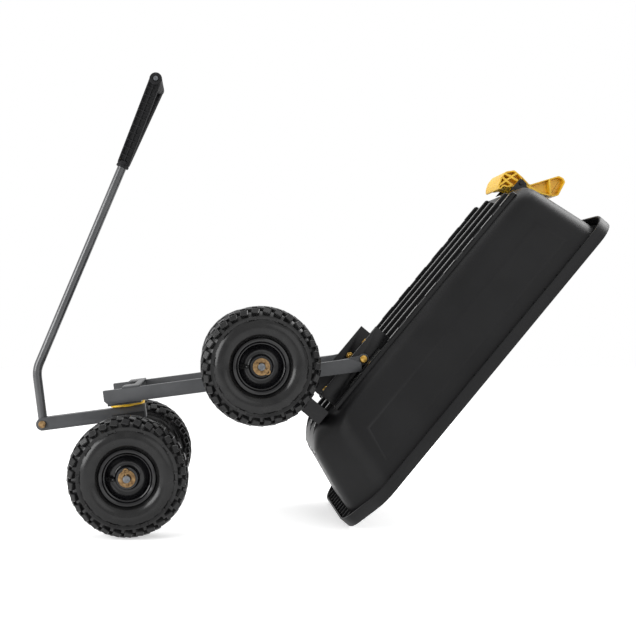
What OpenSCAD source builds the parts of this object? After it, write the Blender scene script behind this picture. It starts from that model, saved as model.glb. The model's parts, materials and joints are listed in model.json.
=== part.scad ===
// Tipping dump cart, shown tipped: it stands on its front wheels and on the lip of the tub.
// Chassis pieces are drawn level, with the tip pivot at the origin and +X to the rear, then pitched.
// Tub pieces are drawn in the same way, upright over the chassis, then tipped about the pivot.

/* [Wheels] */
// Outer diameter of a tyre
tyre_d = 270; // [240:1:280]
// Width of a tyre
tyre_w = 88; // [70:1:90]
// Distance between the middles of the left and right tyres
track = 440; // [436:1:480]
// Height of a tyre's sidewall above the rim
sidewall = 73; // [66:1:80]
// Diameter of the wheel hub
hub_d = 48; // [42:1:56]
// Length of the wheel hub
hub_len = 78; // [70:1:84]
// Outer diameter of a wheel bearing
bearing_d = 35; // [30:1:38]
// Width of a wheel bearing
bearing_w = 11; // [8:1:16]
// Diameter of the axles
axle_d = 16; // [12:1:20]

/* [Chassis] */
// From the tip pivot forward to the kingpin
front_reach = 569; // [540:1:620]
// From the tip pivot down to the axles, with the tub upright
axle_drop = 183; // [176:1:200]
// Height of a rail
rail_h = 32; // [28:1:36]
// Width of a rail
rail_w = 20; // [16:1:24]
// Middle of a rail from the centre line
rail_y = 130; // [124:1:131]
// Wall of the steel tubes
tube_wall = 2; // [1.5:0.25:3]
// Top of the rails above the tip pivot
rail_top = 5.5; // [3:0.5:6]
// Rails ahead of the kingpin
rail_front = 41; // [34:1:50]
// Thickness of the bracket and lug plates
plate_t = 4; // [3:0.5:5]
// Diameter of the pivot bolts
pivot_d = 10; // [8:1:12]
// Radius of the pivot lugs
lug_r = 13; // [11:0.5:13.5]
// Diameter of the kingpin
kingpin_d = 16; // [12:1:20]

/* [Steering] */
// Diameter of the turntable disc
disc_d = 84; // [60:1:100]
// Thickness of the turntable disc
disc_t = 11; // [8:1:14]
// Height of the tongue tube
tongue_h = 31; // [28:1:36]
// Width of the tongue tube
tongue_w = 34; // [30:1:44]
// From the kingpin forward to the handle bolt
tongue_reach = 208; // [180:1:260]

/* [Handle] */
// Diameter of the handle tube
handle_d = 22; // [18:1:25]
// From the handle bolt to the bend
handle_low = 131; // [110:1:180]
// From the bend to the grip
handle_high = 546; // [400:1:650]
// Bend of the handle
handle_bend = 30; // [15:1:40]
// From the end of the handle tube to the grip bar
grip_len = 208; // [170:1:240]
// Width between the ends of the grip bar
grip_w = 128; // [110:1:150]
// Diameter of the soft grip
grip_d = 30; // [26:1:36]

/* [Tub] */
// Tub floor above the tip pivot
floor_gap = 19; // [19:0.5:21]
// Height of the ribs under the floor
rib_h = 9; // [6:0.5:9]
// Wall of the tub
tub_wall = 5; // [3:0.5:7]
// Height of the rim above the tip pivot
rim_z = 222; // [200:1:240]
// Rim of the tub ahead of the kingpin
rim_ahead = 31; // [25:1:40]
// Slope of the front wall, from the floor's front edge forward to the rim
front_slope = 60; // [50:1:75]
// Rim behind the tip pivot
rim_rear = 321; // [300:1:340]
// Width over the rim
rim_w = 508; // [480:1:540]
// Width of the rim flange
flange_w = 26; // [20:1:32]
// Depth of the rim skirt
skirt_h = 28; // [20:1:34]
// From the tip pivot back to the rear axle
rear_reach = 167; // [150:1:180]
// How far the tub is tipped
tip = 137.2; // [132:0.1:140]

/* [Release lever] */
// Width of the lever
lever_w = 112; // [90:1:130]
// Diameter of the lever pin
lever_pin_d = 8; // [6:1:10]

/* [Hidden] */
$fn = 64;
// Clearance of running fits on the radius, of seated pieces, and between moving faces
run = 0.05;
seat = 0.02;
gap = 0.3;

wheel_r = tyre_d / 2;
rim_d = tyre_d - 2 * sidewall;
wheel_y = track / 2;
rib_z = floor_gap - rib_h;
rim_front = front_reach + rim_ahead;

// Levels of the steering stack under the rails
rail_low = rail_top - rail_h;
cross_t = 6;
disc_top = rail_low - cross_t;
neck_t = 3;
tongue_top = disc_top - disc_t - neck_t;
tongue_mid = tongue_top - tongue_h / 2;
tongue_low = tongue_top - tongue_h;
handle_x = -front_reach - tongue_reach;

// Standing pose: the pitch at which the lip and the front tyres share one floor
lip_x = rim_rear * cos(tip) + rim_z * sin(tip);
lip_z = -rim_rear * sin(tip) + rim_z * cos(tip);
stand_x = lip_x + front_reach;
stand_z = -axle_drop - lip_z;
pitch = acos(wheel_r / norm([stand_x, stand_z])) - atan2(stand_x, stand_z);
pivot_z = wheel_r + axle_drop * cos(pitch) + front_reach * sin(pitch);
lean = tip - pitch;
// The pivot is placed so that the origin lies under the middle of the whole cart
bend_d = handle_d + 1.5;
reach_left = handle_x * cos(pitch) - (tongue_mid + handle_low) * sin(pitch) - bend_d / 2;
reach_right = -rim_front * cos(lean) + rim_z * sin(lean);
pivot_x = -(reach_left + reach_right) / 2;

module on_chassis() translate([pivot_x, 0, pivot_z]) rotate([0, -pitch, 0]) children();
module on_tub() translate([pivot_x, 0, pivot_z]) rotate([0, lean, 0]) children();
module both_sides() {
    children();
    mirror([0, 1, 0]) children();
}
// A bar along Y between two distances from the centre line
module rod_y(d, y0, y1) translate([0, y0, 0]) rotate([-90, 0, 0]) cylinder(d = d, h = y1 - y0);
module hex_y(af, y0, y1)
    translate([0, y0, 0]) rotate([-90, 0, 0]) cylinder(d = af / cos(30), h = y1 - y0, $fn = 6);
// A side-view outline in X and Z given thickness along Y
module plate_y(y0, y1) translate([0, y1, 0]) rotate([90, 0, 0]) linear_extrude(y1 - y0) children();
module block(x0, x1, y0, y1, z0, z1) translate([x0, y0, z0]) cube([x1 - x0, y1 - y0, z1 - z0]);

// Chassis

rail_in = rail_y - rail_w / 2;
rail_out = rail_y + rail_w / 2;
lug_in = rail_in - 5;
rail_x0 = -front_reach - rail_front;
bolt_head_r = 9;
rail_x1 = -bolt_head_r - 1;
// The rail's lower rear corner is cut parallel to the tipped tub and stops it there
stop_line = rib_z - gap;
function stop_z(x) = (x * sin(tip) - stop_line) / -cos(tip);
function stop_x(z) = (stop_line - z * cos(tip)) / sin(tip);

module rail() {
    color("#4a4b4d") on_chassis() {
        difference() {
            plate_y(rail_in, rail_out) polygon([
                [rail_x0, rail_top], [rail_x0, rail_low + 8], [rail_x0 + 8, rail_low],
                [stop_x(rail_low), rail_low], [rail_x1, stop_z(rail_x1)],
                [rail_x1, rail_top - 12], [rail_x1 - 26, rail_top]]);
            block(rail_x0 + 12, rail_x1 - 30, rail_in + tube_wall, rail_out - tube_wall,
                rail_low + tube_wall, rail_top - tube_wall);
        }
        difference() {
            union() {
                rod_y(2 * lug_r, lug_in, rail_in);
                plate_y(lug_in, rail_in) polygon([
                    [-75, rail_top - 2], [-75, rail_top - 26], [-16, rail_top - 26],
                    lug_r * [0.6, -0.5], lug_r * [-0.2, 0.75]]);
            }
            rod_y(pivot_d + 2 * seat, lug_in - 1, rail_in + 1);
        }
    }
}
module rail_left() mirror([0, 1, 0]) rail();
module rail_right() rail();

// Channel between the rails that carries the kingpin
head_front = rail_front - 5;
module head_channel() color("#4a4b4d") on_chassis() translate([-front_reach, 0, 0]) difference() {
    union() {
        block(-head_front, disc_d / 2, -rail_in, rail_in, disc_top, disc_top + cross_t);
        both_sides() block(-head_front, disc_d / 2, rail_in - 4, rail_in, disc_top, rail_top - 3);
    }
    translate([0, 0, disc_top - 1]) cylinder(d = kingpin_d + 2 * seat, h = cross_t + 2);
}
module cross_tube() color("#4a4b4d") on_chassis() translate([-160, 0, rail_top - rail_h / 2]) difference() {
    rod_y(25, -rail_in, rail_in);
    rod_y(25 - 2 * tube_wall, -rail_in - 1, rail_in + 1);
}

// Striker plate across the rails
striker_t = 4;
striker_front = -front_reach + 3;
striker_len = 40;
// Notch in the front of the plate; the toe passes through it and hooks under its edge
notch = 24;
striker_edge = striker_front + notch;
module striker_plate() color("#3b3c3e") on_chassis() difference() {
    block(striker_front, striker_front + striker_len, -rail_out, rail_out, rail_top, rail_top + striker_t);
    block(striker_front - 1, striker_edge, -lever_w / 2 - 4, lever_w / 2 + 4,
        rail_top - 1, rail_top + striker_t + 1);
}

kingpin_head = 5;
kingpin_nut_h = 13;
module kingpin_bolt() color("#c9a63c") on_chassis() translate([-front_reach, 0, 0]) {
    translate([0, 0, rail_low]) cylinder(d = kingpin_d + 16, h = kingpin_head);
    translate([0, 0, tongue_low - kingpin_nut_h - 4])
        cylinder(d = kingpin_d, h = rail_low - tongue_low + kingpin_nut_h + 4);
}
module kingpin_nut() color("#c9a63c")
    on_chassis() translate([-front_reach, 0, tongue_low - gap - kingpin_nut_h]) difference() {
        cylinder(d = kingpin_d + 10, h = kingpin_nut_h, $fn = 6);
        translate([0, 0, -1]) cylinder(d = kingpin_d + 2 * seat, h = kingpin_nut_h + 2);
    }

// Tip pivot: a bolt at each side through the lug and the tub's bracket
ear_out = lug_in - gap;
ear_in = ear_out - plate_t;
pivot_nut_h = 7;
module pivot_bolts() color("#d89a4a") on_chassis() both_sides() {
    rod_y(2 * bolt_head_r, rail_in, rail_in + 6);
    rod_y(pivot_d, ear_in - gap - pivot_nut_h - 3, rail_in);
}
module pivot_nuts() color("#c9a63c") on_chassis() both_sides() difference() {
    hex_y(16, ear_in - gap - pivot_nut_h, ear_in - gap);
    rod_y(pivot_d + 2 * seat, ear_in - gap - pivot_nut_h - 1, ear_in);
}

// Tub

// One level of the tub's outline: front, rear, half width, and the cut of the rear corners
module outline(front, rear, half, cut_x, cut_y, r) offset(r = r) offset(delta = -r) polygon([
    [-front, -half], [rear - cut_x, -half], [rear, -half + cut_y],
    [rear, half - cut_y], [rear - cut_x, half], [-front, half]]);
module level(z, front, rear, half, cut_x, cut_y, r)
    translate([0, 0, z]) linear_extrude(0.1, center = true)
        outline(front, rear, half, cut_x, cut_y, r, $fn = 40);
body_front = rim_front - flange_w;
body_rear = rim_rear - flange_w;
body_half = rim_w / 2 - flange_w;
corner_r = 42;
corner_cut_x = 100;
corner_cut_y = 75;
foot_front = rim_front - front_slope;
foot_rear = 196;
foot_half = 160;
// Form of the tub: floor, two levels of its rounded foot, and the edge under the rim
module tub_form(inset, low, high) hull() {
    foot = floor_gap + low;
    level(foot, foot_front - inset, foot_rear - inset, foot_half - inset, 60, 45, corner_r);
    level(foot + 9, foot_front + 14 - inset, foot_rear + 22 - inset, foot_half + 19 - inset,
        66, 50, corner_r);
    level(foot + 30, foot_front + 20 - inset, foot_rear + 44 - inset, foot_half + 28 - inset,
        74, 55, corner_r);
    level(high, body_front - inset, body_rear - inset, body_half - inset,
        corner_cut_x, corner_cut_y, corner_r);
}
bracket_x0 = -78;
bracket_x1 = 128;
foot_in = ear_in - 32;
bracket_bolts_x = [-50, 106];
bracket_bolt_y = (foot_in + ear_in) / 2 - 3;
leg_w = 37;
leg_in = rail_out + 6;
leg_out = leg_in + 18;
carrier_bolt_y = 60;
lever_pin_x = -front_reach - 6;
lever_pin_z = rib_z + 20;
module floor_holes() {
    for (x = bracket_bolts_x, side = [-1, 1]) translate([x, side * bracket_bolt_y, rib_z - 1]) children();
    for (side = [-1, 1]) translate([rear_reach, side * carrier_bolt_y, rib_z - 1]) children();
}
bolt_d = 8;
// Bolts go up into inserts moulded in the floor, so that its inside stays smooth
insert_deep = rib_h + tub_wall - 2;
rib_w = 10;
rib_pitch = 78;
module tub() color("#2b2b2c") on_tub() {
    difference() {
        tub_form(0, 0, rim_z - 2);
        tub_form(tub_wall, tub_wall, rim_z + 1);
        floor_holes() cylinder(d = bolt_d + 2 * seat, h = insert_deep + 1);
    }
    // Ribs along the floor, with flat pads where the brackets and the carrier bolt on
    difference() {
        union() {
            for (n = [-2:2])
                translate([0, n * rib_pitch, 0])
                    block(-foot_front + 20, foot_rear - (abs(n) == 2 ? 62 : 14), -rib_w / 2, rib_w / 2,
                        rib_z, floor_gap);
            both_sides() block(bracket_x0, bracket_x1, foot_in, ear_out, rib_z, floor_gap);
            both_sides() block(-40, 60, rail_in + 1, rail_out + 1, rib_z, floor_gap);
            block(rear_reach - leg_w / 2, rear_reach + leg_w / 2, -carrier_bolt_y - 40, carrier_bolt_y + 40,
                rib_z, floor_gap);
        }
        floor_holes() cylinder(d = bolt_d + 2 * seat, h = rib_h + 2);
    }
    // Rim: a flange round the top with a skirt that hangs from its edge
    difference() {
        translate([0, 0, rim_z - skirt_h]) linear_extrude(skirt_h)
            outline(rim_front, rim_rear, rim_w / 2, 110, 82, 70);
        translate([0, 0, rim_z - skirt_h - 1]) linear_extrude(skirt_h - 4)
            outline(rim_front - 4, rim_rear - 4, rim_w / 2 - 4, 108, 81, 68);
        tub_form(0.5, 0, rim_z + 1);
    }
}

module bracket() color("#222324") on_tub() difference() {
    union() {
        block(bracket_x0, bracket_x1, ear_in, ear_out, -25, rib_z);
        block(bracket_x0, bracket_x1, foot_in, ear_out, rib_z - plate_t, rib_z);
    }
    rod_y(pivot_d + 2 * run, ear_in - 1, ear_out + 1);
    // Room for the pivot nut in the foot
    block(-14, 14, foot_in - 1, ear_in, rib_z - plate_t - 1, rib_z + 1);
    for (x = bracket_bolts_x) translate([x, bracket_bolt_y, rib_z - plate_t - 1])
        cylinder(d = bolt_d + 2 * seat, h = plate_t + 2);
}
module bracket_left() mirror([0, 1, 0]) bracket();
module bracket_right() bracket();

// Bolts from below into the tub floor
module floor_bolt() {
    translate([0, 0, rib_z - plate_t - 1]) cylinder(d = bolt_d, h = plate_t + insert_deep);
    translate([0, 0, rib_z - plate_t - 6]) cylinder(d = 13 / cos(30), h = 6, $fn = 6);
}
module floor_bolts() color("#c8b56a") on_tub() {
    for (x = bracket_bolts_x, side = [-1, 1]) translate([x, side * bracket_bolt_y, 0]) floor_bolt();
    for (side = [-1, 1]) translate([rear_reach, side * carrier_bolt_y, 0]) floor_bolt();
}

// Rear axle carrier: a strap under the floor and a leg at each side, with a stub axle
module axle_carrier() color("#222324") on_tub() {
    difference() {
        block(rear_reach - leg_w / 2, rear_reach + leg_w / 2, -leg_out, leg_out, rib_z - plate_t, rib_z);
        for (side = [-1, 1]) translate([rear_reach, side * carrier_bolt_y, rib_z - plate_t - 1])
            cylinder(d = bolt_d + 2 * seat, h = plate_t + 2);
    }
    both_sides() difference() {
        union() {
            block(rear_reach - leg_w / 2, rear_reach + leg_w / 2, leg_in, leg_out,
                -axle_drop, rib_z - plate_t);
            translate([rear_reach, 0, -axle_drop]) rod_y(leg_w, leg_in, leg_out);
        }
        block(rear_reach - leg_w / 2 + 3, rear_reach + leg_w / 2 - 3, leg_in + 3, leg_out - 3,
            -axle_drop + axle_d, rib_z - plate_t - 3);
        translate([rear_reach, 0, -axle_drop]) rod_y(axle_d + 2 * seat, leg_in - 1, leg_out + 1);
    }
}

// Wheel levels along the axle, from the middle of the tyre outwards
hub_out = wheel_y + hub_len / 2;
hub_in = wheel_y - hub_len / 2;
washer_t = 3;
washer_d = 38;
pin_d = 4;
pin_y = hub_out + gap + washer_t + pin_d / 2 + gap;
axle_end = pin_y + 6;
module axle_hole_pin(d) translate([0, pin_y, -20]) cylinder(d = d, h = 40);
module on_rear_axle() on_tub() translate([rear_reach, 0, -axle_drop]) children();
module on_front_axle() on_chassis() translate([-front_reach, 0, -axle_drop]) children();
module rear_axles() color("#b9bbbd") on_rear_axle() both_sides() difference() {
    rod_y(axle_d, leg_in, axle_end);
    axle_hole_pin(pin_d + 2 * seat);
}
module spacer_washers() both_sides() {
    difference() {
        rod_y(washer_d, hub_out + gap, hub_out + gap + washer_t);
        rod_y(axle_d + 2 * seat, hub_out, hub_out + gap + washer_t + 1);
    }
}
module cotters() both_sides() {
    translate([0, pin_y, -axle_d / 2 - 7]) cylinder(d = pin_d, h = axle_d + 12);
    translate([0, pin_y, axle_d / 2 + 9]) rotate([90, 0, 0]) difference() {
        cylinder(d = 13, h = 3, center = true);
        cylinder(d = 7, h = 4, center = true);
    }
}
module rear_washers() color("#d0ad4c") on_rear_axle() spacer_washers();
module rear_cotters() color("#c3c4c6") on_rear_axle() cotters();

// Release lever and its bracket on the front wall

lever_half = lever_w / 2;
cheek_t = 5;
cheek_in = lever_half + gap;
wall_x = -foot_front - 20;
module lever_bracket() color("#232425") on_tub() difference() {
    both_sides() plate_y(cheek_in, cheek_in + cheek_t) polygon([
        [lever_pin_x - 9, lever_pin_z - 9], [lever_pin_x - 9, lever_pin_z + 9],
        [wall_x - 6, lever_pin_z + 32], [wall_x + 14, lever_pin_z + 32], [wall_x + 20, lever_pin_z - 9]]);
    tub_form(-0.05, 0, rim_z - 2);
    translate([lever_pin_x, 0, lever_pin_z]) rod_y(lever_pin_d + 2 * seat, -rim_w, rim_w);
}
module lever_pin() color("#b9bbbd") on_tub() translate([lever_pin_x, 0, lever_pin_z])
    rod_y(lever_pin_d, -cheek_in - cheek_t - 3, cheek_in + cheek_t + 3);
// How far the toe reaches under the striker, and the lever's outline round its pin
catch = 8.5;
toe_x = striker_edge + catch - lever_pin_x;
toe_top = rail_top - 3.5 - lever_pin_z;
// The toe hooks under the striker; the finger is pressed towards the tub
module release_lever() color("#e3b322") on_tub() translate([lever_pin_x, 0, lever_pin_z]) difference() {
    plate_y(-lever_half, lever_half) polygon([
        [toe_x, toe_top], [toe_x + 2, toe_top - 5], [toe_x - 7, toe_top - 12], [toe_x - 23, toe_top - 18],
        [0, toe_top - 18], [-16, toe_top - 4], [-16, -6], [-13, 19], [-76, 60], [-79, 72], [-75, 82],
        [-38, 90], [-26, 78], [-2, 30], [7, 14], [14, -8], [toe_x - 14, toe_top + 8], [toe_x - 11, toe_top]]);
    rod_y(lever_pin_d + 2 * run, -rim_w, rim_w);
}

// Steering

module steering_disc() color("#e8b92a") on_chassis() translate([-front_reach, 0, tongue_top]) difference() {
    union() {
        translate([0, 0, neck_t]) cylinder(d = disc_d, h = disc_t - gap);
        cylinder(d = kingpin_d + 20, h = neck_t + 1);
    }
    translate([0, 0, -1]) cylinder(d = kingpin_d + 2 * run, h = disc_t + neck_t + 2);
}
fork_len = 46;
tongue_rear = 42;
eye_r = tongue_h / 2 - tube_wall - 0.5;
handle_bolt_d = 10;
module tongue() color("#4a4b4d") on_chassis() difference() {
    union() {
        block(handle_x, -front_reach + tongue_rear, -tongue_w / 2, tongue_w / 2, tongue_low, tongue_top);
        translate([handle_x, 0, tongue_mid]) rod_y(tongue_h, -tongue_w / 2, tongue_w / 2);
    }
    // Hollow tube, open as a fork at the front; the cut top wall is the stop of the handle
    block(handle_x + handle_d / 2 + gap, -front_reach + tongue_rear - tube_wall, -tongue_w / 2 + tube_wall,
        tongue_w / 2 - tube_wall, tongue_low + tube_wall, tongue_top - tube_wall);
    block(handle_x - tongue_h, handle_x + handle_d / 2 + gap, -tongue_w / 2 + tube_wall,
        tongue_w / 2 - tube_wall, tongue_low - 1, tongue_top + 1);
    translate([handle_x, 0, tongue_mid]) rod_y(handle_bolt_d + 2 * seat, -tongue_w, tongue_w);
    translate([-front_reach, 0, tongue_low - 1]) cylinder(d = kingpin_d + 2 * run, h = tongue_h + 2);
}
carrier_y = tongue_w / 2 + plate_t;
module front_axle_carrier() color("#3f4042") on_chassis() translate([-front_reach, 0, 0]) difference() {
    both_sides() {
        plate_y(tongue_w / 2, carrier_y) polygon([[-40, tongue_mid], [40, tongue_mid],
            [18, -axle_drop], [-18, -axle_drop]]);
        translate([0, 0, -axle_drop]) rod_y(36, tongue_w / 2, carrier_y);
    }
    translate([0, 0, -axle_drop]) rod_y(axle_d + 2 * seat, -carrier_y - 1, carrier_y + 1);
}
module front_axle() color("#b9bbbd") on_front_axle() difference() {
    rod_y(axle_d, -axle_end, axle_end);
    both_sides() axle_hole_pin(pin_d + 2 * seat);
}
// Collars that keep the wheels off the carrier
module front_collars() color("#3f4042") on_front_axle() both_sides() difference() {
    rod_y(axle_d + 9, carrier_y, hub_in - gap);
    rod_y(axle_d + 2 * seat, carrier_y - 1, hub_in);
}
module rear_collars() color("#3f4042") on_rear_axle() both_sides() difference() {
    rod_y(axle_d + 9, leg_out, hub_in - gap);
    rod_y(axle_d + 2 * seat, leg_out - 1, hub_in);
}
module front_washers() color("#d0ad4c") on_front_axle() spacer_washers();
module front_cotters() color("#c3c4c6") on_front_axle() cotters();

// Handle

module handle_bolt() color("#b8783c") on_chassis() translate([handle_x, 0, tongue_mid]) {
    rod_y(handle_bolt_d, -tongue_w / 2 - 6, tongue_w / 2 + 10);
    rod_y(18, -tongue_w / 2 - 6, -tongue_w / 2);
}
module handle_nut() color("#c9a63c") on_chassis() translate([handle_x, 0, tongue_mid]) difference() {
    hex_y(17, tongue_w / 2, tongue_w / 2 + 8);
    rod_y(handle_bolt_d + 2 * seat, tongue_w / 2 - 1, tongue_w / 2 + 9);
}
// From the handle bolt up the lower leg, then along the bent upper leg
module on_handle() on_chassis() translate([handle_x, 0, tongue_mid]) children();
module on_upper() on_handle() translate([0, 0, handle_low]) rotate([0, handle_bend, 0]) children();
// Two legs of one tube that meet in a swelled bend, with the eye at the foot
module handle_tube() color("#3c3d40") {
    on_handle() difference() {
        union() {
            rod_y(2 * eye_r, -tongue_w / 2 + tube_wall + gap, tongue_w / 2 - tube_wall - gap);
            cylinder(d = handle_d, h = handle_low);
        }
        translate([0, 0, eye_r + 4]) cylinder(d = handle_d - 2 * tube_wall, h = handle_low - eye_r - 20);
        rod_y(handle_bolt_d + 2 * run, -tongue_w, tongue_w);
    }
    on_upper() {
        sphere(d = bend_d);
        difference() {
            cylinder(d = handle_d, h = handle_high);
            translate([0, 0, 16]) cylinder(d = handle_d - 2 * tube_wall, h = handle_high);
        }
    }
}
socket_len = 18;
arm_d = 20;
arm_y = grip_w / 2 - 9;
// The arms end in the bosses, short of the screws
arm_run = norm([arm_y - 6, grip_len]) - 7;
arm_angle = atan2(arm_y - 6, grip_len);
// An arm is a flat bar with round edges, as deep as the grip
arm_t = 14;
arm_foot = 3;
module grip_arm(grow) {
    deep = grip_d - arm_t;
    translate([-deep / 2, -arm_t / 2 - grow, arm_foot]) cube([deep, arm_t + 2 * grow, arm_run - arm_foot]);
    for (side = [-1, 1]) translate([side * deep / 2, 0, arm_foot])
        cylinder(d = arm_t + 2 * grow, h = arm_run - arm_foot);
}
module grip_frame() color("#2c2d2f") on_upper() translate([0, 0, handle_high]) {
    difference() {
        translate([0, 0, -socket_len + 6]) cylinder(d = handle_d + 9, h = socket_len);
        translate([0, 0, -socket_len]) cylinder(d = handle_d + 2 * seat, h = socket_len);
    }
    both_sides() translate([0, 6, 0]) rotate([-arm_angle, 0, 0]) grip_arm(0);
    translate([0, 0, grip_len]) difference() {
        union() {
            rod_y(arm_d, -grip_w / 2, grip_w / 2);
            both_sides() rod_y(grip_d, arm_y - 11, grip_w / 2);
        }
        both_sides() rod_y(5 + 2 * seat, grip_w / 2 - 18, grip_w / 2 + 1);
    }
}
module grip_sleeve() color("#1f2022") on_upper() translate([0, 0, handle_high + grip_len]) difference() {
    rod_y(grip_d, -arm_y + 11 + gap, arm_y - 11 - gap);
    rod_y(arm_d + 2 * seat, -grip_w, grip_w);
    both_sides() translate([0, 6, -grip_len]) rotate([-arm_angle, 0, 0]) grip_arm(0.5);
}
module grip_screws() color("#8d8f92") on_upper() translate([0, 0, handle_high + grip_len]) both_sides() {
    rod_y(5, grip_w / 2 - 17, grip_w / 2);
    rod_y(11, grip_w / 2, grip_w / 2 + 3);
}

// Wheels, drawn round Y with the valve outwards

rim_r = rim_d / 2;
bead_r = rim_r - 7;
rim_half = 30;
wall_t = 7;
module tyre() color("#1c1c1d") rotate([90, 0, 0]) rotate_extrude($fn = 96) difference() {
    intersection() {
        translate([bead_r + 1, -tyre_w / 2]) square([wheel_r - bead_r - 1, tyre_w]);
        union() {
            translate([wheel_r - tyre_w * 0.42, 0]) scale(tyre_w / 2) circle(r = 1);
            translate([bead_r, -rim_half + 4.5]) square([20, 2 * rim_half - 9]);
            translate([wheel_r - 24, -tyre_w / 2 + 8]) square([20, tyre_w - 16]);
            translate([wheel_r - 20, -tyre_w / 2 + 17]) square([20, tyre_w - 34]);
        }
    }
    translate([wheel_r - tyre_w * 0.42, 0]) circle(r = tyre_w / 2 - wall_t - 4);
    translate([bead_r, -rim_half + 10]) square([22, 2 * rim_half - 20]);
}
disc_y = 8;
module rim() color("#161617") rotate([90, 0, 0]) difference() {
    rotate_extrude($fn = 96) difference() {
        union() {
            translate([bead_r - 3, -rim_half]) square([3, 2 * rim_half]);
            for (side = [-1, 1]) translate([bead_r - 3, side * (rim_half - 2) - 2])
                square([rim_r - bead_r + 3, 4]);
            translate([hub_d / 2 - 2, -disc_y - 2]) square([bead_r - hub_d / 2, 4]);
            translate([bearing_d / 2 - 4, -hub_len / 2]) square([hub_d / 2 - bearing_d / 2 + 4, hub_len]);
        }
        for (side = [-1, 1]) translate([0, side * (hub_len / 2 - bearing_w / 2 + 1) - bearing_w / 2 - 1])
            square([bearing_d / 2 + seat, bearing_w + 2]);
    }
    translate([-valve_r, 0, -rim_half]) cylinder(d = valve_d + 2 * seat, h = 2 * rim_half);
}
module bearings() color("#a9abad") rotate([90, 0, 0]) for (side = [-1, 1])
    translate([0, 0, side * (hub_len / 2 - bearing_w / 2) - bearing_w / 2]) difference() {
        cylinder(d = bearing_d, h = bearing_w);
        translate([0, 0, -1]) cylinder(d = axle_d + 2 * run, h = bearing_w + 2);
    }
valve_r = (hub_d / 2 + bead_r) / 2;
valve_d = 9;
module valve() color("#111112") rotate([90, 0, 0]) translate([-valve_r, 0, disc_y - 14]) {
    cylinder(d = valve_d, h = 22);
    translate([0, 0, 22]) cylinder(d = 7, h = 8);
}
// The right wheels show their outside to -Y
module near_side() translate([0, -wheel_y, 0]) children();
module far_side() translate([0, wheel_y, 0]) rotate([0, 0, 180]) children();
module front_wheel() on_chassis() translate([-front_reach, 0, -axle_drop]) children();
module rear_wheel() on_tub() translate([rear_reach, 0, -axle_drop]) rotate([0, -lean, 0]) children();

WHEELS = ["front_left", "front_right", "rear_left", "rear_right"];
module wheel_at(place) {
    if (place == "front_left") front_wheel() far_side() children();
    if (place == "front_right") front_wheel() near_side() children();
    if (place == "rear_left") rear_wheel() far_side() children();
    if (place == "rear_right") rear_wheel() near_side() children();
}

rail_left();
rail_right();
head_channel();
cross_tube();
striker_plate();
kingpin_bolt();
kingpin_nut();
pivot_bolts();
pivot_nuts();
tub();
bracket_left();
bracket_right();
floor_bolts();
axle_carrier();
rear_axles();
rear_collars();
rear_washers();
rear_cotters();
lever_bracket();
lever_pin();
release_lever();
steering_disc();
tongue();
front_axle_carrier();
front_axle();
front_collars();
front_washers();
front_cotters();
handle_bolt();
handle_nut();
handle_tube();
grip_frame();
grip_sleeve();
grip_screws();
for (w = WHEELS) {
    wheel_at(w) tyre();
    wheel_at(w) rim();
    wheel_at(w) bearings();
    wheel_at(w) valve();
}
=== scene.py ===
import json
from math import radians, degrees, sin, cos, tan, asin, atan2, pi

import bmesh
import bpy
from mathutils import Matrix, Vector


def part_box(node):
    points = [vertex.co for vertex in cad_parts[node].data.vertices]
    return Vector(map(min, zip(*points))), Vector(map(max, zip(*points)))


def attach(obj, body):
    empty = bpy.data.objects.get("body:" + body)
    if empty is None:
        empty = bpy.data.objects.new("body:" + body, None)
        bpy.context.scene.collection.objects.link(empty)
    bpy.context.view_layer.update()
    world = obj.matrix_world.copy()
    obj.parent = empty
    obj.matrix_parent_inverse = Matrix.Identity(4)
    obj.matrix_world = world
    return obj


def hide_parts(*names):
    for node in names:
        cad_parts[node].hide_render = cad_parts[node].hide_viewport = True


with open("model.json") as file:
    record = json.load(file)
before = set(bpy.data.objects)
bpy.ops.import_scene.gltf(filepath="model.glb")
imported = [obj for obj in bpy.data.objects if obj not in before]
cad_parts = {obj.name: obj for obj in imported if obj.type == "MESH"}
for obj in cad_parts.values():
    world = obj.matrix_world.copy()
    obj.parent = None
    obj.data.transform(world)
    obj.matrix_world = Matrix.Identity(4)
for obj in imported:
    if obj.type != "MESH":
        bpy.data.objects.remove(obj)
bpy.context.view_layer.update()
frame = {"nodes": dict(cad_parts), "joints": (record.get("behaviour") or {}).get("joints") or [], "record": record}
mm = 0.001
joints = {j["name"]: j for j in frame["joints"]}

# the two frames of the cart, read from its joints: rails pitched, tub tipped about the pivot
pivot = Vector(joints["tub_tip"]["pos_m"])
pitch = asin(-joints["steer"]["axis"][0])
lean = radians(-joints["tub_tip"]["range_deg"][0]) - pitch
chassisPlace = Matrix.Translation(pivot) @ Matrix.Rotation(-pitch, 4, "Y")
tubPlace = Matrix.Translation(pivot) @ Matrix.Rotation(lean, 4, "Y")
print("frame loaded, pitch", round(degrees(pitch), 2), "lean", round(degrees(lean), 2))


# materials

def colour(text):
    parts = [int(text[i:i + 2], 16) / 255 for i in (1, 3, 5)]
    return tuple(c / 12.92 if c <= 0.04045 else ((c + 0.055) / 1.055) ** 2.4 for c in parts) + (1.0,)


def addNode(tree, kind, links=(), **settings):
    node = tree.nodes.new(kind)
    for key, value in settings.items():
        if hasattr(node, key):
            setattr(node, key, value)
        else:
            node.inputs[key].default_value = value
    for socket, source in links:
        tree.links.new(node.inputs[socket], source)
    return node


def newMaterial(name):
    mat = bpy.data.materials.new(name)
    mat.use_nodes = True
    tree = mat.node_tree
    shader = tree.nodes["Principled BSDF"]
    place = addNode(tree, "ShaderNodeTexCoord").outputs["Object"]
    return mat, tree, shader, place


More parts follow.
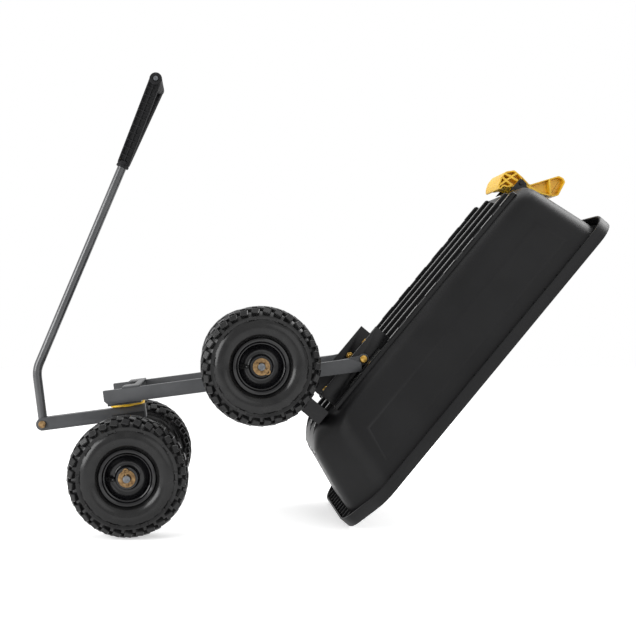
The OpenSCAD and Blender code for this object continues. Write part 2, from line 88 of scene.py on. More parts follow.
def mottled(tree, shader, place, dark, pale, patchMm, detail=4.0):
    # colour that drifts between two tones over patches of the given size
    noise = addNode(tree, "ShaderNodeTexNoise", [("Vector", place)], Scale=1000 / patchMm, Detail=detail)
    ramp = addNode(tree, "ShaderNodeValToRGB", [("Fac", noise.outputs["Fac"])])
    for stop, at, tone in zip(ramp.color_ramp.elements, (0.32, 0.68), (dark, pale)):
        stop.position = at
        stop.color = colour(tone)
    tree.links.new(shader.inputs["Base Color"], ramp.outputs["Color"])
    return noise


def grained(tree, shader, place, grainMm, heightMm, strength):
    # a fine moulded or sprayed grain in the bump
    grain = addNode(tree, "ShaderNodeTexNoise", [("Vector", place)], Scale=1000 / grainMm, Detail=2.0)
    bump = addNode(tree, "ShaderNodeBump", [("Height", grain.outputs["Fac"])],
                   Distance=heightMm * mm, Strength=strength)
    tree.links.new(shader.inputs["Normal"], bump.outputs["Normal"])


def roughFrom(tree, shader, source, low, high):
    # roughness that follows a pattern between two values
    spread = addNode(tree, "ShaderNodeMapRange", [("Value", source)], **{"To Min": low, "To Max": high})
    tree.links.new(shader.inputs["Roughness"], spread.outputs["Result"])


# sprayed satin powder coat on steel tube: dark grey, faint orange peel
powderGrey, tree, shader, place = newMaterial("powderCoatedSteelGrey")
noise = mottled(tree, shader, place, "#3c3d3f", "#494a4c", 60)
roughFrom(tree, shader, noise.outputs["Fac"], 0.38, 0.5)
grained(tree, shader, place, 1.6, 0.05, 0.35)
shader.inputs["Specular IOR Level"].default_value = 0.35

# a smoother coat on the drawn handle tube, which shows long highlights
powderGloss, tree, shader, place = newMaterial("powderCoatedTubeGloss")
noise = mottled(tree, shader, place, "#333436", "#3f4042", 60)
roughFrom(tree, shader, noise.outputs["Fac"], 0.2, 0.3)
grained(tree, shader, place, 1.6, 0.03, 0.25)
shader.inputs["Coat Weight"].default_value = 0.4
shader.inputs["Coat Roughness"].default_value = 0.15

# the same coat in black on brackets
powderBlack, tree, shader, place = newMaterial("powderCoatedSteelBlack")
noise = mottled(tree, shader, place, "#141415", "#1d1d1e", 45)
roughFrom(tree, shader, noise.outputs["Fac"], 0.3, 0.44)
grained(tree, shader, place, 1.6, 0.05, 0.35)
shader.inputs["Specular IOR Level"].default_value = 0.22

# moulded polyethylene: soft charcoal with a fine leathery grain, drawn coarser than real so that
# it shows
polyethylene, tree, shader, place = newMaterial("mouldedPolyethylene")
noise = mottled(tree, shader, place, "#0d0d0e", "#141415", 120)
roughFrom(tree, shader, noise.outputs["Fac"], 0.36, 0.5)
grained(tree, shader, place, 2.4, 0.12, 0.35)
shader.inputs["IOR"].default_value = 1.5
shader.inputs["Specular IOR Level"].default_value = 0.19

# the same plastic on the rib tops, made glossier so that it shines at a low angle, and with a greyer base colour
# that is a painted highlight
ribTopHighlight, tree, shader, place = newMaterial("ribTopPaintedHighlight")
noise = mottled(tree, shader, place, "#4a4a48", "#6a6a66", 9)
roughFrom(tree, shader, noise.outputs["Fac"], 0.1, 0.2)
grained(tree, shader, place, 1.5, 0.03, 0.2)
shader.inputs["Specular IOR Level"].default_value = 0.9

# vulcanised tyre rubber, new from the mould: black with a shine, greyer where a bloom is left
rubber, tree, shader, place = newMaterial("vulcanisedTyreRubber")
noise = mottled(tree, shader, place, "#0c0c0d", "#191919", 22)
roughFrom(tree, shader, noise.outputs["Fac"], 0.16, 0.3)
grained(tree, shader, place, 1.8, 0.15, 0.3)
shader.inputs["Specular IOR Level"].default_value = 0.3

# glossy stove enamel on pressed steel rims
enamel, tree, shader, place = newMaterial("stoveEnamelBlack")
noise = mottled(tree, shader, place, "#08080a", "#0e0e10", 40)
roughFrom(tree, shader, noise.outputs["Fac"], 0.12, 0.22)
grained(tree, shader, place, 5.0, 0.06, 0.25)
shader.inputs["Specular IOR Level"].default_value = 0.3
shader.inputs["Coat Weight"].default_value = 0.15
shader.inputs["Coat Roughness"].default_value = 0.1

# yellow chromated zinc plate on bolts and nuts
zinc, tree, shader, place = newMaterial("yellowChromatedZinc")
noise = mottled(tree, shader, place, "#94702c", "#c9a55a", 6)
roughFrom(tree, shader, noise.outputs["Fac"], 0.24, 0.42)
grained(tree, shader, place, 0.8, 0.03, 0.4)
shader.inputs["Metallic"].default_value = 1.0

# the same plating browner, on the washers, cotter pins and handle bolt
zincBronze, tree, shader, place = newMaterial("bronzeChromatedZinc")
noise = mottled(tree, shader, place, "#5a4530", "#8f7552", 8)
roughFrom(tree, shader, noise.outputs["Fac"], 0.22, 0.38)
grained(tree, shader, place, 0.8, 0.03, 0.4)
shader.inputs["Metallic"].default_value = 1.0

# cold-drawn steel of the axle ends, dulled by oil
drawnSteel, tree, shader, place = newMaterial("coldDrawnSteel")
noise = mottled(tree, shader, place, "#505254", "#76787c", 8)
roughFrom(tree, shader, noise.outputs["Fac"], 0.26, 0.4)
grained(tree, shader, place, 0.7, 0.02, 0.4)
shader.inputs["Metallic"].default_value = 1.0

# glass-filled nylon, injection moulded in warm yellow
nylon, tree, shader, place = newMaterial("mouldedNylonYellow")
noise = mottled(tree, shader, place, "#e8b51b", "#efc22f", 30)
roughFrom(tree, shader, noise.outputs["Fac"], 0.34, 0.46)
grained(tree, shader, place, 1.5, 0.05, 0.35)
shader.inputs["Subsurface Weight"].default_value = 0.06
shader.inputs["Subsurface Radius"].default_value = (0.006, 0.004, 0.001)

# overmoulded soft grip rubber with a cross-hatch
softGrip, tree, shader, place = newMaterial("overmouldedGripRubber")
noise = mottled(tree, shader, place, "#0d0d0e", "#18181a", 14)
roughFrom(tree, shader, noise.outputs["Fac"], 0.5, 0.68)
hatchMm = 6
wavesPerScale = 3.2   # a wave pattern of scale 1 has about this many waves in a metre
waves = [addNode(tree, "ShaderNodeTexWave", [("Vector", place)], bands_direction=way,
                 Scale=1000 / hatchMm / wavesPerScale, Distortion=0.6) for way in ("DIAGONAL", "Z")]
both = addNode(tree, "ShaderNodeMath", [(n, wave.outputs["Fac"]) for n, wave in enumerate(waves)],
               operation="MAXIMUM")
bump = addNode(tree, "ShaderNodeBump", [("Height", both.outputs[0])], Distance=0.5 * mm, Strength=0.7)
tree.links.new(shader.inputs["Normal"], bump.outputs["Normal"])
shader.inputs["Specular IOR Level"].default_value = 0.2
print("materials made")


# piece helpers

def finishPiece(name, bm, place, body, material, replaced=(), sharpAt=35, second=None):
    # the shape put in its place as an object that rides on a body and stands for the named solids
    bmesh.ops.remove_doubles(bm, verts=bm.verts, dist=0.02 * mm)
    bmesh.ops.transform(bm, matrix=place, verts=bm.verts)
    for face in bm.faces:
        face.smooth = True
    for edge in bm.edges:
        edge.smooth = len(edge.link_faces) == 2 and edge.calc_face_angle(0) < radians(sharpAt)
    mesh = bpy.data.meshes.new(name)
    bm.to_mesh(mesh)
    bm.free()
    piece = bpy.data.objects.new(name, mesh)
    bpy.context.scene.collection.objects.link(piece)
    mesh.materials.append(material)
    if second:
        mesh.materials.append(second)
    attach(piece, body)
    if replaced:
        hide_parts(*replaced)
    return piece


def spun(bm, profile, axis, steps, cent=(0, 0, 0)):
    # a run of points turned a full turn about an axis
    verts = [bm.verts.new(p) for p in profile]
    edges = [bm.edges.new(pair) for pair in zip(verts, verts[1:])]
    bmesh.ops.spin(bm, geom=verts + edges, cent=cent, axis=axis, angle=2 * pi, steps=steps, use_merge=True)
    bmesh.ops.remove_doubles(bm, verts=bm.verts, dist=0.02 * mm)
    bmesh.ops.recalc_face_normals(bm, faces=bm.faces)


def newVerts(made):
    return [g for g in made if isinstance(g, bmesh.types.BMVert)]


def openEdges(made):
    return [g for g in made if isinstance(g, bmesh.types.BMEdge) and len(g.link_faces) == 1]


def wholeOf(bm):
    return bm.verts[:] + bm.edges[:] + bm.faces[:]


def block(bm, size, at=(0, 0, 0)):
    # a box of the given size in mm, centred on a place in mm
    verts = bmesh.ops.create_cube(bm, size=mm)["verts"]
    bmesh.ops.scale(bm, vec=size, verts=verts)
    bmesh.ops.translate(bm, vec=Vector(at) * mm, verts=verts)
    return verts


def brokenBlock(bm, verts, offset):
    # breaks every edge of a box
    edges = list({e for v in verts for e in v.link_edges})
    bmesh.ops.bevel(bm, geom=edges, affect="EDGES", offset=offset * mm, segments=1, profile=0.5, material=-1)


def sidePlate(bm, outline, low, high):
    # an outline in the XZ plane given its width along Y, all in mm
    face = bm.faces.new([bm.verts.new(Vector((x, low, z)) * mm) for x, z in outline])
    made = bmesh.ops.extrude_face_region(bm, geom=[face])["geom"]
    bmesh.ops.translate(bm, vec=(0, (high - low) * mm, 0), verts=newVerts(made))


def softEdges(bm, offset, segments=2, above=30):
    # breaks each edge that is sharper than an angle
    edges = [e for e in bm.edges if len(e.link_faces) == 2 and e.calc_face_angle(0) > radians(above)]
    if edges:
        bmesh.ops.bevel(bm, geom=edges, affect="EDGES", offset=offset, offset_type="OFFSET",
                        segments=segments, profile=0.5, material=-1, clamp_overlap=True)


def bodyOf(node):
    for body, members in frame["record"]["behaviour"]["bodies"].items():
        if node in members:
            return body


def easedCopy(node, offset, material, segments=2, socket=0):
    # the CAD solid again with its edges broken, as real folded and sawn steel has them
    bm = bmesh.new()
    bm.from_mesh(frame["nodes"][node].data)
    bmesh.ops.remove_doubles(bm, verts=bm.verts, dist=0.005 * mm)
    bmesh.ops.dissolve_limit(bm, angle_limit=radians(0.5), verts=bm.verts, edges=bm.edges)
    if socket:   # a key socket sunk in each round head
        heads = [f for f in bm.faces
                 if len(f.verts) > 12 and abs(f.normal.y) > 0.9 and f.calc_area() > 70 * mm * mm]
        bmesh.ops.inset_individual(bm, faces=heads, thickness=socket * mm, depth=0)
        bmesh.ops.inset_individual(bm, faces=heads, thickness=0.1 * mm, depth=-1.8 * mm)
    softEdges(bm, offset * mm, segments)
    return finishPiece("eased_" + node, bm, Matrix.Identity(4), bodyOf(node), material, [node])


# wheels: tyre with knobbed tread, pressed rim with hub

# each row of lugs: place on the section, size, lean and share of a step of stagger
# each side mark, a raised U: its three bars by size, place along the rim and radius
tyre = {"radius": 135, "bead": 55.5, "lugs": 30, "lugRise": 4.5, "lugSkew": 16, "lugEdge": 1.4,
        "rows": [((121, -34, 0), (12, 14, 17), -50, 0.0), ((121, 34, 0), (12, 14, 17), 50, 0.5),
                 ((127.6, -21, 0), (9, 11, 15), -24, 0.5), ((127.6, 21, 0), (9, 11, 15), 24, 0.0),
                 ((129.2, -7, 0), (9, 11, 15), -6, 0.0), ((129.2, 7, 0), (9, 11, 15), 6, 0.5)],
        "marks": [((9, 3, 4), -9, 107), ((4, 3, 18), 0, 109.5), ((9, 3, 4), 9, 107)],
        "markEvery": 3, "markOut": 39.8, "markLean": 18}


def tyreMesh(bm):
    # half of the section from the bead out to the tread, as radius and half width
    side = [(tyre["bead"], 20), (tyre["bead"] + 1, 25.4), (61, 27), (64, 29), (66, 32), (69.5, 36.5),
            (74.5, 40.4), (80.5, 42.9), (87, 43.9), (92, 43.3), (97, 41.8), (101.5, 39.4), (104.5, 37),
            (106, 37.4), (108.5, 38.4), (112, 38.2), (119, 33), (125, 25), (128.5, 14),
            (tyre["radius"] - tyre["lugRise"], 5)]
    profile = [Vector((x * mm, -y * mm, 0)) for x, y in side]
    profile += [Vector((x * mm, y * mm, 0)) for x, y in reversed(side)]
    spun(bm, profile, (0, 1, 0), 90)
    step = 2 * pi / tyre["lugs"]
    for n in range(tyre["lugs"]):
        for row, (mid, size, slope, stagger) in enumerate(tyre["rows"]):
            lug = block(bm, size)
            skew = Matrix.Rotation(radians(tyre["lugSkew"] if row % 2 else -tyre["lugSkew"]), 3, "X")
            bmesh.ops.rotate(bm, cent=(0, 0, 0), matrix=skew, verts=lug)
            place = (Matrix.Rotation((n + stagger) * step, 4, "Y") @ Matrix.Translation(Vector(mid) * mm)
                     @ Matrix.Rotation(radians(slope), 4, "Z"))
            bmesh.ops.transform(bm, matrix=place, verts=lug)
            brokenBlock(bm, lug, tyre["lugEdge"])
        if n % tyre["markEvery"]:
            continue
        for size, along, out in tyre["marks"]:
            for face in (-1, 1):
                place = (Matrix.Rotation((n + 0.5) * step, 4, "Y")
                         @ Matrix.Translation(Vector((out, face * tyre["markOut"], along)) * mm)
                         @ Matrix.Rotation(radians(face * tyre["markLean"]), 4, "Z"))
                bmesh.ops.transform(bm, matrix=place, verts=block(bm, size))


# section of the rim as radius and place across, where the outside of the wheel is -Y:
# hub, dished disc, stepped well and flange, then back along the inside
rimRun = [(10, -39), (23.5, -39), (24.5, -38), (24.5, -17), (28, -13.5), (33, -12.5), (46, -17), (49, -21),
          (50, -25.5), (53, -26.5), (54, -28), (55.5, -31.5), (59, -33), (62, -32), (62, -29.5), (57, -28),
          (55.4, -26), (55.4, 26), (57, 28), (62, 29.5), (62, 32), (59, 33), (54, 30), (51.5, 26),
          (51.5, -18), (46, -14), (33, -9.5), (27, -10), (24.5, -6), (24.5, 38), (23.5, 39), (10, 39)]
# valve stem with its cap and a shoulder at the rim: section, lean and foot
valve = {"stem": [(0, 0), (5.2, 0), (5.2, 3), (3.6, 5), (3.4, 16), (4.2, 16.5), (4.2, 24), (3.2, 25.5),
                  (0, 25.5)],
         "lean": 28, "foot": (-41, -13, 0)}


def rimMesh(bm):
    spun(bm, [Vector((x * mm, y * mm, 0)) for x, y in rimRun], (0, 1, 0), 96)


def valveMesh(bm):
    spun(bm, [Vector((x * mm, 0, z * mm)) for x, z in valve["stem"]], (0, 0, 1), 20)
    for angle, axis in ((90, "X"), (valve["lean"], "Z")):
        bmesh.ops.rotate(bm, cent=(0, 0, 0), matrix=Matrix.Rotation(radians(angle), 3, axis), verts=bm.verts)
    bmesh.ops.translate(bm, vec=Vector(valve["foot"]) * mm, verts=bm.verts)


wheelPieces = [("tyre", tyreMesh, rubber, "tyre_rubber", 28), ("rim", rimMesh, enamel, "rim_black", 40),
               ("valve", valveMesh, rubber, "valve_rubber", 50)]
for wheel in ("front_left", "front_right", "rear_left", "rear_right"):
    body = wheel + "_wheel"
    low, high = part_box(wheel + "_tyre")
    centre = (low + high) / 2
    flip = Matrix.Rotation(pi if wheel.endswith("left") else 0, 4, "Z")
    turned = Matrix.Rotation(-pitch if wheel.startswith("front") else 0, 4, "Y")
    place = Matrix.Translation(centre) @ turned @ flip
    for kind, shape, material, slotName, sharpAt in wheelPieces:
        bm = bmesh.new()
        shape(bm)
        finishPiece(kind + "_" + wheel, bm, place, body, material, [wheel + "_" + kind], sharpAt)
    bearings = frame["nodes"][wheel + "_bearings"].data
    bearings.materials.clear()
    bearings.materials.append(drawnSteel)
print("wheels made")


# tub: one sheet from the floor up to the flange and down the skirt, then given its wall

# levels: height, front, rear and half width; cuts: shares of the rear and of the half width
tub = {"wall": 5, "frontR": 46, "cutR": 20, "cutLong": 0.42, "cutWide": 0.36, "edge": 1.6,
       "levels": [(19, 524, 184, 150), (20, 532, 192, 158), (23, 541, 201, 167), (29, 550, 212, 176),
                  (38, 555, 224, 182), (50, 559, 238, 187), (72, 562, 248, 192), (185, 571, 289, 221),
                  (205, 573, 295, 227), (217, 574, 296, 228), (217, 591, 316, 249), (194, 591, 316, 249)],
       "panel": [(22, 0), (4, 0), (7, -2.5), (4, 0)]}   # borders and depths; the narrow ones keep it flat


def moveRing(ring, was, now):
    # carries one outline of the tub on to the next: level, front, rear and half width
    stretchX = (now[1] + now[2]) / (was[1] + was[2])
    for v in ring:
        v.co.x = (-now[1] + (v.co.x / mm + was[1]) * stretchX) * mm
        v.co.y *= now[3] / was[3]
        v.co.z = now[0] * mm


def ringUp(bm, edges, was, now):
    made = bmesh.ops.extrude_edge_only(bm, edges=edges)["geom"]
    moveRing(newVerts(made), was, now)
    return openEdges(made)


bm = bmesh.new()
z, front, rear, half = tub["levels"][0]
cutX, cutY = tub["cutLong"] * rear, tub["cutWide"] * half
corners = [(-front, -half), (rear - cutX, -half), (rear, -half + cutY), (rear, half - cutY),
           (rear - cutX, half), (-front, half)]
bm.faces.new([bm.verts.new(Vector((x, y, z)) * mm) for x, y in corners])
bm.verts.ensure_lookup_table()
middle = -400 * mm   # between the front corners and the others
for atFront, radius, segments in ((False, tub["cutR"], 5), (True, tub["frontR"], 8)):
    turns = [v for v in bm.verts if (v.co.x < middle) == atFront]
    bmesh.ops.bevel(bm, geom=turns, affect="VERTICES", offset=radius * mm, segments=segments, profile=0.5,
                    material=-1)
edges = [e for e in bm.edges if len(e.link_faces) == 1]
for was, now in zip(tub["levels"], tub["levels"][1:]):   # up the wall, out over the flange, down the skirt
    edges = ringUp(bm, edges, was, now)
bmesh.ops.recalc_face_normals(bm, faces=bm.faces)
# long shallow panel pressed into the one large face of each side wall
sides = [f for f in bm.faces if abs(f.normal.y) > 0.85 and f.calc_area() > 0.04]
for border, depth in tub["panel"]:
    bmesh.ops.inset_individual(bm, faces=sides, thickness=border * mm, depth=depth * mm)
bmesh.ops.solidify(bm, geom=bm.faces[:], thickness=-tub["wall"] * mm)
bmesh.ops.recalc_face_normals(bm, faces=bm.faces)
softEdges(bm, tub["edge"] * mm, 2, 40)
finishPiece("tub_shell", bm, tubPlace, "tub_body", polyethylene, ["tub"], 30)

# floor ribs: the inner three run on round the rear corner, the outer two are broken into bars
ribs = {"inner": ((-78, -536), (0, -518), (78, -536)), "outer": (-156, 156), "wide": 10, "outerFront": -520,
        "rear": 132, "bar": 46, "pitch": 68, "edge": 2.0, "web": 11.5,
        "corner": [(166, 10), (182, 12.5), (196, 18), (208, 25.5), (221, 35.5), (236, 48.5), (244, 60),
                   (249, 72), (252, 84), (247, 86), (241, 72), (228, 50), (210, 36), (190, 27), (166, 22)]}
# flat pads where the brackets, the rail stops and the axle strap bear: along, across, if on both sides
pads = {"high": 11, "mid": 15.5, "edge": 0.8,
        "spots": [((-78, 128), (78.7, 114.7), True), ((-40, 60), (121, 141), True),
                  ((148.5, 185.5), (-100, 100), False)]}


def ribBar(bm, outline, y):
    sidePlate(bm, outline, y - ribs["wide"] / 2, y + ribs["wide"] / 2)


bm = bmesh.new()
for y, front in ribs["inner"]:
    ribBar(bm, [(front + 8, 22), (front + 6, 19), (front + 10, 10)] + ribs["corner"], y)
for y in ribs["outer"]:   # a low web with raised bars along it
    front, rear = ribs["outerFront"], ribs["rear"]
    ribBar(bm, [(front, 23), (front + 2, ribs["web"]), (rear - 2, ribs["web"]), (rear, 23)], y)
    at = front + 4
    while at + ribs["bar"] < rear:
        ribBar(bm, [(at, 14), (at + 1, 10), (at + ribs["bar"] - 1, 10), (at + ribs["bar"], 14)], y)
        at += ribs["pitch"]
bmesh.ops.recalc_face_normals(bm, faces=bm.faces)
softEdges(bm, ribs["edge"] * mm, 1, 60)
bm.normal_update()
for face in bm.faces:   # painted highlight: the rib tops and the faces round the rear corner take the paler glossy material
    low = face.calc_center_median().z < 11.3 * mm or face.normal.x > 0.3
    face.material_index = 1 if low and (face.normal.z < -0.9 or face.normal.x > 0.75) else 0
for (x0, x1), (y0, y1), bothSides in pads["spots"]:
    for side in (-1, 1) if bothSides else (-1,):
        pad = block(bm, (x1 - x0, y1 - y0, pads["high"]), ((x0 + x1) / 2, side * (y0 + y1) / 2, pads["mid"]))
        brokenBlock(bm, pad, pads["edge"])
finishPiece("tub_ribs", bm, tubPlace, "tub_body", polyethylene, (), 30, ribTopHighlight)

# stiffening webs between the wall and the skirt, which show as a comb under the rim
webs = {"thick": 3, "low": 197, "high": 214, "edge": 0.6, "rear": 303, "rearPitch": 30, "rearDeep": 24,
        "side": 236, "sidePitch": 42, "sideDeep": 26}
tall, mid = webs["high"] - webs["low"], (webs["low"] + webs["high"]) / 2
bm = bmesh.new()
for n in range(-5, 6):
    block(bm, (webs["rearDeep"], webs["thick"], tall), (webs["rear"], n * webs["rearPitch"], mid))
for n in range(-12, 5):
    for side in (-1, 1):
        block(bm, (webs["thick"], webs["sideDeep"], tall), (n * webs["sidePitch"], side * webs["side"], mid))
bmesh.ops.bevel(bm, geom=bm.edges[:], affect="EDGES", offset=webs["edge"] * mm, segments=1, profile=0.5,
                material=-1)
finishPiece("tub_rim_webs", bm, tubPlace, "tub_body", polyethylene, (), 30)
print("tub made")


# handle: one bent tube, then the grip

handle = {"tube": 22, "low": 131, "high": 546, "bend": 30, "bendR": 70, "eyeR": 13, "eyeWide": 29.4}
eye = chassisPlace.inverted() @ Vector(joints["handle_fold"]["pos_m"])
handlePlace = chassisPlace @ Matrix.Translation(eye)
bend = radians(handle["bend"])


def pulled(bm, ring, vec):
    # a ring of edges drawn out along a straight line
    made = bmesh.ops.extrude_edge_only(bm, edges=ring)["geom"]
    bmesh.ops.translate(bm, vec=vec, verts=newVerts(made))
    return openEdges(made)


bm = bmesh.new()
bmesh.ops.create_circle(bm, segments=32, radius=handle["tube"] / 2 * mm)
run = handle["bendR"] * tan(bend / 2)   # straight length that the bend takes up at each end
ring = pulled(bm, bm.edges[:], Vector((0, 0, handle["low"] - run)) * mm)
turned = bmesh.ops.spin(bm, geom=ring + list({v for e in ring for v in e.verts}),
                        cent=Vector((handle["bendR"], 0, handle["low"] - run)) * mm, axis=(0, 1, 0),
                        angle=bend, steps=10)
ring = [g for g in turned["geom_last"] if isinstance(g, bmesh.types.BMEdge)]
pulled(bm, ring, Vector((sin(bend), 0, cos(bend))) * (handle["high"] - run) * mm)
# eye at the foot: a short round bar across the tube
made = bmesh.ops.create_cone(bm, cap_ends=True, segments=32, radius1=handle["eyeR"] * mm,
                             radius2=handle["eyeR"] * mm, depth=handle["eyeWide"] * mm)
bmesh.ops.rotate(bm, cent=(0, 0, 0), matrix=Matrix.Rotation(radians(90), 3, "X"), verts=made["verts"])
bmesh.ops.recalc_face_normals(bm, faces=bm.faces)
finishPiece("handle_bent_tube", bm, handlePlace, "handle", powderGloss, ["handle_tube"], 40)

# grip: two moulded arms with rows of pockets, end bosses, socket and a soft bar between
grip = {"length": 208, "wide": 128, "deep": 30, "thick": 14, "foot": 6, "inset": 9, "short": 4, "round": 5,
        "cells": 11, "rib": 1.5, "draft": 0.5, "pocket": 3.5,
        "boss": [(0, 37), (13.5, 37), (15, 38.5), (15, 62.5), (13.5, 64), (7.5, 64), (7, 63), (0, 63)],
        "collar": [(11.1, -12), (14, -12), (15.5, -10.5), (15.5, -7), (14.6, -6), (14.6, -4), (15.5, -3),
                   (15.5, 3), (12, 6), (0, 6)],
        "bar": 14.9, "barHalf": 37.5, "rings": 25, "ringPitch": 3, "ringDeep": 0.9, "endDeep": 0.6}
upper = handlePlace @ Matrix.Translation((0, 0, handle["low"] * mm)) @ Matrix.Rotation(bend, 4, "Y")
gripPlace = upper @ Matrix.Translation((0, 0, handle["high"] * mm))
reach = grip["wide"] / 2 - grip["inset"] - grip["foot"]
armLong = (reach ** 2 + grip["length"] ** 2) ** 0.5 - grip["short"]


def gripArm():
    # one arm along Z from the foot: a bar with rounded corners and two columns of pockets on each face
    arm = bmesh.new()
    block(arm, (grip["deep"], grip["thick"], armLong), (0, 0, armLong / 2))
    edges = [e for e in arm.edges if abs((e.verts[0].co - e.verts[1].co).z) > 0.1]
    bmesh.ops.bevel(arm, geom=edges, affect="EDGES", offset=grip["round"] * mm, segments=4, profile=0.5,
                    material=-1)
    for n in range(1, grip["cells"]):
        bmesh.ops.bisect_plane(arm, geom=wholeOf(arm), dist=1e-6, plane_no=(0, 0, 1),
                               plane_co=(0, 0, armLong * mm * n / grip["cells"]))
    bmesh.ops.bisect_plane(arm, geom=wholeOf(arm), dist=1e-6, plane_co=(0, 0, 0), plane_no=(1, 0, 0))
    arm.normal_update()
    cells = [f for f in arm.faces if abs(f.normal.y) > 0.95]
    bmesh.ops.inset_individual(arm, faces=cells, thickness=grip["rib"] * mm, depth=0)
    bmesh.ops.inset_individual(arm, faces=cells, thickness=grip["draft"] * mm, depth=-grip["pocket"] * mm)
    lean = Matrix.Rotation(-atan2(reach, grip["length"]), 3, "X")
    bmesh.ops.rotate(arm, cent=(0, 0, 0), matrix=lean, verts=arm.verts)
    bmesh.ops.translate(arm, vec=(0, grip["foot"] * mm, 0), verts=arm.verts)
    return arm


bm = bmesh.new()
for turn in (0, 180):
    arm = gripArm()
    bmesh.ops.rotate(arm, cent=(0, 0, 0), matrix=Matrix.Rotation(radians(turn), 3, "Z"), verts=arm.verts)
    armMesh = bpy.data.meshes.new("gripArm")
    arm.to_mesh(armMesh)
    arm.free()
    bm.from_mesh(armMesh)
    bpy.data.meshes.remove(armMesh)
barMid = (0, 0, grip["length"] * mm)
for side in (-1, 1):   # end boss round the screw
    spun(bm, [Vector((0, side * y, grip["length"] + x)) * mm for x, y in grip["boss"]], (0, 1, 0), 40, barMid)
spun(bm, [Vector((x, 0, z)) * mm for x, z in grip["collar"]], (0, 0, 1), 40)
finishPiece("grip_moulding", bm, gripPlace, "handle", softGrip, ["grip_frame"], 35)

bm = bmesh.new()   # soft bar with shallow finger rings
last = grip["rings"] - 1
bar = [(0, -grip["barHalf"]), (13, -grip["barHalf"])]
for n in range(grip["rings"]):
    deep = (grip["ringDeep"] if n % 4 == 2 else 0) + (grip["endDeep"] if n in (0, last) else 0)
    bar.append((grip["bar"] - deep, (n - last / 2) * grip["ringPitch"]))
bar += [(13, grip["barHalf"]), (0, grip["barHalf"])]
spun(bm, [Vector((0, y, x)) * mm for x, y in bar], (0, 1, 0), 40)
bmesh.ops.translate(bm, vec=barMid, verts=bm.verts)
finishPiece("grip_bar", bm, gripPlace, "handle", softGrip, ["grip_sleeve"], 50)
print("handle made")


# steel pieces keep their solids with broken edges: the width that is broken, in each finish

eased = [(powderGrey, {"rail_left": 1.4, "rail_right": 1.4, "tongue": 1.2, "head_channel": 0.8,
                       "cross_tube": 0.4, "striker_plate": 0.8}),
         (powderBlack, {"bracket_left": 0.8, "bracket_right": 0.8, "axle_carrier": 1.0,
                        "front_axle_carrier": 0.8, "front_collars": 0.6, "rear_collars": 0.6,
                        "lever_bracket": 0.8, "lever_pin": 0.6}),
         (nylon, {"steering_disc": 1.2}),
         (zinc, {"kingpin_bolt": 1.0, "kingpin_nut": 0.8, "pivot_bolts": 2.6, "pivot_nuts": 0.7,
                 "floor_bolts": 0.7, "handle_nut": 0.7}),
         (zincBronze, {"rear_washers": 0.6, "front_washers": 0.6, "handle_bolt": 3.0, "rear_cotters": 0.4,
                       "front_cotters": 0.4}),
         (drawnSteel, {"rear_axles": 1.0, "front_axle": 1.0, "grip_screws": 0.6})]
domed = 2            # a wider break than this is a domed head
screwSocket = 2.6    # key socket of the grip screws, in from the rim of the head
for material, pieces in eased:
    for node, offset in pieces.items():
        socket = screwSocket if node == "grip_screws" else 0
        easedCopy(node, offset, material, 4 if offset > domed else 2, socket)
print("steel pieces eased")


# release lever: one moulding with open pockets on both sides, parted by the cuts

lever = {"half": 56, "wall": 3.2, "deep": 16, "draft": 0.8, "round": 4,
         "outline": [(41.5, -28), (43.5, -33), (34.5, -40), (18.5, -46), (0, -46), (-16, -32), (-16, -6),
                     (-13, 19), (-76, 60), (-79, 72), (-75, 82), (-38, 90), (-26, 78), (-2, 30), (7, 14),
                     (14, -8), (27.5, -20), (30.5, -28)],
         "cuts": [((16, -34), (1, 0)), ((0, -27), (0.3, 1)), ((0, -6), (0, 1)), ((-4, 0), (1, 0.2)),
                  ((-7.5, 24.5), (0.7, -0.7)), ((-42, 60), (0.7, -0.7))]}
leverPlace = tubPlace @ Matrix.Translation(tubPlace.inverted() @ Vector(joints["lever_press"]["pos_m"]))
bm = bmesh.new()
sidePlate(bm, lever["outline"], -lever["half"], lever["half"])
bmesh.ops.recalc_face_normals(bm, faces=bm.faces)
across = [e for e in bm.edges if abs((e.verts[0].co - e.verts[1].co).y) > 0.05]
bmesh.ops.bevel(bm, geom=across, affect="EDGES", offset=lever["round"] * mm, segments=3, profile=0.5,
                material=-1, clamp_overlap=True)
for (x, z), (nx, nz) in lever["cuts"]:
    bmesh.ops.bisect_plane(bm, geom=wholeOf(bm), dist=1e-6, plane_co=Vector((x, 0, z)) * mm,
                           plane_no=(nx, 0, nz))
bm.normal_update()
cells = [f for f in bm.faces if abs(f.normal.y) > 0.95 and f.calc_area() > 60 * mm * mm]
bmesh.ops.inset_individual(bm, faces=cells, thickness=lever["wall"] * mm, depth=0)
bmesh.ops.inset_individual(bm, faces=cells, thickness=lever["draft"] * mm, depth=-lever["deep"] * mm)
finishPiece("lever_moulding", bm, leverPlace, "lever", nylon, ["release_lever"], 35)
print("lever made")


# floor, light, camera

def seenRays(tree):
    # 1 for what the camera sees straight on, in reflections and through glass
    path = addNode(tree, "ShaderNodeLightPath")
    either = path.outputs["Is Camera Ray"]
    for ray in ("Is Glossy Ray", "Is Transmission Ray"):
        links = [(0, either), (1, path.outputs[ray])]
        either = addNode(tree, "ShaderNodeMath", links, operation="MAXIMUM").outputs[0]
    return either


bpy.ops.mesh.primitive_plane_add(size=14)
ground = bpy.context.object
ground.name = "studio_floor"
groundMat, tree, shader, _ = newMaterial("studioPaperWhite")
shader.inputs["Base Color"].default_value = colour("#f4f4f4")
shader.inputs["Roughness"].default_value = 0.9
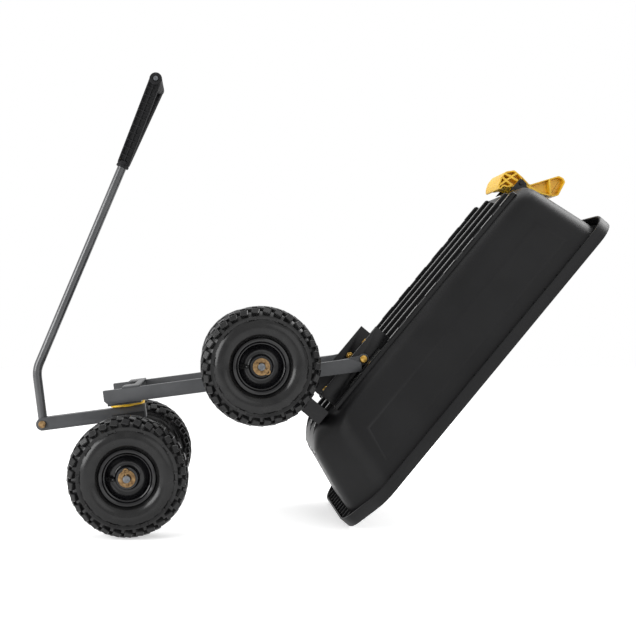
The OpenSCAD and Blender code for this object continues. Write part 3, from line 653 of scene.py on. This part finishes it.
# paper that reads white to the camera and in reflections, and still takes the cart's shadow
paperLift = 0.52
lift = addNode(tree, "ShaderNodeMath", [(0, seenRays(tree))], operation="MULTIPLY")
lift.inputs[1].default_value = paperLift
shader.inputs["Emission Color"].default_value = (1, 1, 1, 1)
tree.links.new(shader.inputs["Emission Strength"], lift.outputs[0])
ground.data.materials.append(groundMat)

world = bpy.data.worlds.new("studioWorld")
bpy.context.scene.world = world
world.use_nodes = True
tree = world.node_tree
back = tree.nodes["Background"]
back.inputs["Color"].default_value = (1, 1, 1, 1)
level = addNode(tree, "ShaderNodeMapRange", [("Value", seenRays(tree))], **{"To Min": 0.5, "To Max": 1.0})
tree.links.new(back.inputs["Strength"], level.outputs["Result"])


def lamp(name, at, towards, watts, size):
    data = bpy.data.lights.new(name, "AREA")
    data.energy, data.size = watts, size
    light = bpy.data.objects.new(name, data)
    bpy.context.scene.collection.objects.link(light)
    light.location = at
    light.rotation_euler = (Vector(towards) - Vector(at)).to_track_quat("-Z", "Y").to_euler()


lamp("softKey", (-2.7, -1.5, 1.2), (-0.2, 0, 0.4), 62, 1.7)
lamp("softTop", (0.3, 0.5, 3.4), (0.1, 0, 0.4), 42, 2.6)
lamp("sideStrip", (2.0, 0.4, 2.1), (0.4, -0.15, 0.75), 48, 1.5)
lamp("softFill", (1.6, -3.0, 1.6), (0, 0, 0.4), 20, 2.4)

# the photograph's viewpoint, turned a little to the right of square
view = {"framePx": 636, "focalPx": 997, "shift": 0.105, "left": 0.369, "back": 2.44, "high": 0.485,
        "yaw": -2.6}
camera = bpy.data.objects.new("photoCamera", bpy.data.cameras.new("photoCamera"))
bpy.context.scene.collection.objects.link(camera)
camera.data.sensor_width = 36
camera.data.lens = camera.data.sensor_width * view["focalPx"] / view["framePx"]
camera.data.shift_x = view["shift"]
camera.location = (pivot.x - view["left"], -view["back"], view["high"])
camera.rotation_euler = (radians(90), 0, radians(view["yaw"]))
bpy.context.scene.camera = camera
bpy.context.scene.view_settings.view_transform = "Standard"
print("stage set")
